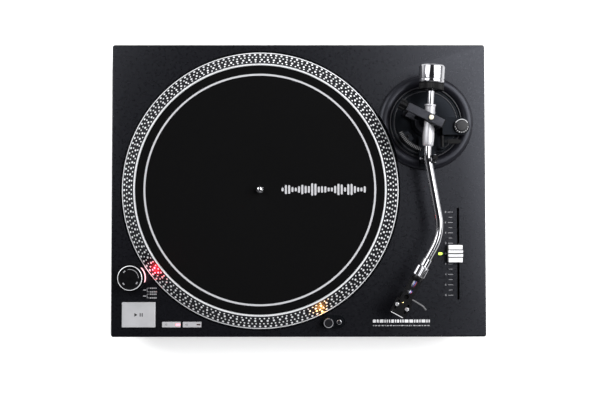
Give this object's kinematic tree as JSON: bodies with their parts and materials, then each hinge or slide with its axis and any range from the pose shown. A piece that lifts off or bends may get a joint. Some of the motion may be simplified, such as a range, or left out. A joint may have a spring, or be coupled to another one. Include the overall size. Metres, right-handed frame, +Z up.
{
  "type": "turntable record player",
  "caption": "Direct-drive turntable: square plinth, dotted platter with felt mat, S-shaped arm on a gimbal base, pitch fader, strobe knob, pop-up lamp and push buttons.",
  "frame": {"origin": "centre of the plinth's footprint, on the surface it stands on", "axes": "+X right, +Y to the back, +Z up"},
  "size_m": [0.45, 0.352, 0.144],
  "materials": {
    "black_paint": "satin black paint with a fine metallic fleck",
    "tray_plastic": "fine-grained moulded plastic",
    "foot_rubber": "matt rubber",
    "zinc_screw": "bright zinc plate",
    "cast_platter": "die cast, dark bevel with bright strobe dots",
    "felt": "felt, printed with a white ring and bars",
    "spindle_steel": "ground steel",
    "magnet": "bonded ferrite",
    "motor_steel": "pressed steel",
    "copper_coil": "enamelled copper on a board",
    "bronze": "sintered bronze",
    "circuit_board": "green solder mask with black components",
    "transformer_iron": "varnished laminations",
    "jack_sheet": "black anodised sheet",
    "gilt": "gilt socket barrels",
    "socket_plastic": "black moulded socket",
    "base_disc": "dark satin plate",
    "base_collar": "dark grey satin ring",
    "bridge_grey": "dark grey satin paint",
    "black_plastic": "black moulded plastic",
    "satin_silver": "satin silver",
    "chrome": "polished chrome plate",
    "bright_tube": "polished and plated tube",
    "shell_black": "black anodised headshell",
    "cartridge_black": "black moulded cartridge",
    "stylus_grip": "black stylus grip",
    "button_silver": "satin silver button",
    "fader_white": "pale silver ribbed knob",
    "strobe_lens": "clear pink strobe window",
    "amber_lens": "warm lamp"
  },
  "bodies": {
    "plinth": {"top_cover": "black_paint", "bottom_cover": "tray_plastic", "rubber_feet": "foot_rubber", "cover_screws": "zinc_screw", "motor_base": "motor_steel", "stator": "copper_coil", "bearing_bush": "bronze", "main_board": "circuit_board", "transformer": "transformer_iron", "control_board": "circuit_board", "jack_panel": "jack_sheet", "rca_jacks": "gilt", "usb_socket": "chrome", "mains_inlet": "socket_plastic", "arm_base_plate": "base_disc", "arm_base_collar": "base_collar", "arm_post": "base_disc", "bearing_bridge": "bridge_grey", "bridge_caps": "black_plastic", "pivot_screw": "chrome", "arm_bracket": "base_disc", "lift_housing": "black_plastic", "antiskate_housing": "base_disc", "strobe_housing": "black_plastic", "strobe_window": "strobe_lens", "light_plate": "black_plastic", "pitch_pot": "black_plastic"},
    "platter": {"platter": "cast_platter", "rotor_magnet": "magnet", "spindle": "spindle_steel"},
    "mat": {"slipmat": "felt"},
    "gimbal": {"gimbal_ring": "satin_silver", "tilt_screws": "zinc_screw"},
    "tilt_bearings": {"tilt_bearings": "zinc_screw"},
    "arm": {"arm_housing": "satin_silver", "arm_tube": "bright_tube", "rear_stub": "chrome", "headshell": "shell_black", "finger_lift": "shell_black", "cartridge": "cartridge_black", "stylus": "stylus_grip", "cartridge_screws": "zinc_screw"},
    "collar": {"locking_collar": "chrome"},
    "weight_bush": {"weight_bush": "black_plastic"},
    "weight": {"counterweight": "chrome"},
    "dial": {"dial_ring": "black_plastic"},
    "cue_lift": {"lift_platform": "black_plastic"},
    "cue_lever": {"cue_lever": "black_plastic"},
    "skate_knob": {"antiskate_knob": "black_plastic"},
    "clip": {"rest_clip": "black_plastic"},
    "start_button": {"start_stop_button": "button_silver"},
    "speed_33": {"speed_33_button": "button_silver"},
    "speed_45": {"speed_45_button": "button_silver"},
    "fader": {"fader_knob": "fader_white"},
    "power": {"power_knob": "black_plastic"},
    "lamp": {"target_lamp": "chrome", "lamp_lens": "amber_lens"},
    "lamp_button": {"lamp_button": "chrome"},
    "line_switch": {"output_switch": "black_plastic"},
    "ground_nut": {"ground_nut": "gilt"}
  },
  "joints": [
    {"name": "platter_spin", "type": "hinge", "parent": "plinth", "child": "platter", "pos_m": [-0.046, 0, 0.09], "axis": [0, 0, -1], "continuous": true},
    {"name": "mat_slip", "type": "hinge", "parent": "platter", "child": "mat", "pos_m": [-0.046, 0, 0.1], "axis": [0, 0, -1], "continuous": true},
    {"name": "arm_swing", "type": "hinge", "parent": "plinth", "child": "gimbal", "pos_m": [0.153, 0.0813, 0.124], "axis": [0, 0, -1], "range_deg": [0, 44]},
    {"name": "cue_raise", "type": "hinge", "parent": "gimbal", "child": "tilt_bearings", "pos_m": [0.153, 0.0813, 0.124], "axis": [-0.898, 0.4399, 0], "range_deg": [0, 2.2]},
    {"name": "arm_tilt", "type": "hinge", "parent": "tilt_bearings", "child": "arm", "pos_m": [0.153, 0.0813, 0.124], "axis": [-0.898, 0.4399, 0], "range_deg": [0, 10]},
    {"name": "collar_lock", "type": "hinge", "parent": "arm", "child": "collar", "pos_m": [0.1389, -0.1024, 0.124], "axis": [0.4802, 0.8771, 0], "range_deg": [0, 90]},
    {"name": "weight_travel", "type": "slide", "parent": "arm", "child": "weight_bush", "axis": [0.0645, 0.9979, 0], "range_m": [-0.0041, 0.0041]},
    {"name": "weight_turn", "type": "hinge", "parent": "weight_bush", "child": "weight", "pos_m": [0.153, 0.0813, 0.124], "axis": [0.0645, 0.9979, 0], "range_deg": [-720, 720]},
    {"name": "dial_zero", "type": "hinge", "parent": "weight", "child": "dial", "pos_m": [0.153, 0.0813, 0.124], "axis": [0.0645, 0.9979, 0], "continuous": true},
    {"name": "cue_lift_rise", "type": "slide", "parent": "plinth", "child": "cue_lift", "axis": [0, 0, 1], "range_m": [0, 0.0013]},
    {"name": "cue_lever_turn", "type": "hinge", "parent": "plinth", "child": "cue_lever", "pos_m": [0.1705, 0.057, 0.104], "axis": [0, -1, 0], "range_deg": [0, 35.1]},
    {"name": "skate_turn", "type": "hinge", "parent": "plinth", "child": "skate_knob", "pos_m": [0.1925, 0.0747, 0.11], "axis": [0, 0, -1], "range_deg": [0, 270]},
    {"name": "clip_close", "type": "hinge", "parent": "plinth", "child": "clip", "pos_m": [0.1586, 0.0348, 0.1292], "axis": [0, -1, 0], "range_deg": [0, 90]},
    {"name": "start_press", "type": "slide", "parent": "plinth", "child": "start_button", "axis": [0, 0, -1], "range_m": [0, 0.0015], "stiffness_N_per_m": 400, "springref_m": -0.002},
    {"name": "speed_33_press", "type": "slide", "parent": "plinth", "child": "speed_33", "axis": [0, 0, -1], "range_m": [0, 0.0012], "stiffness_N_per_m": 200, "springref_m": -0.002},
    {"name": "speed_45_press", "type": "slide", "parent": "plinth", "child": "speed_45", "axis": [0, 0, -1], "range_m": [0, 0.0012], "stiffness_N_per_m": 200, "springref_m": -0.002},
    {"name": "pitch_slide", "type": "slide", "parent": "plinth", "child": "fader", "axis": [0, 1, 0], "range_m": [-0.05, 0.05]},
    {"name": "power_turn", "type": "hinge", "parent": "plinth", "child": "power", "pos_m": [-0.1995, -0.1048, 0.1], "axis": [0, 0, -1], "range_deg": [0, 60]},
    {"name": "lamp_drop", "type": "slide", "parent": "plinth", "child": "lamp", "axis": [0, 0, -1], "range_m": [0, 0.012], "stiffness_N_per_m": 60, "springref_m": -0.01},
    {"name": "lamp_press", "type": "slide", "parent": "plinth", "child": "lamp_button", "axis": [0, 0, -1], "range_m": [0, 0.0015], "stiffness_N_per_m": 100, "springref_m": -0.002},
    {"name": "line_select", "type": "slide", "parent": "plinth", "child": "line_switch", "axis": [1, 0, 0], "range_m": [0, 0.003]},
    {"name": "ground_turn", "type": "hinge", "parent": "plinth", "child": "ground_nut", "pos_m": [-0.056, 0.163, 0.059], "axis": [0, 1, 0], "range_deg": [0, 720]}
  ],
  "couplings": [
    {"joint": "cue_lever_turn", "follows": "cue_raise", "ratio": 15.909},
    {"joint": "cue_lift_rise", "follows": "cue_raise", "m_per_rad": 0.032554},
    {"joint": "weight_travel", "follows": "weight_turn", "m_per_rad": 0.00031831}
  ]
}
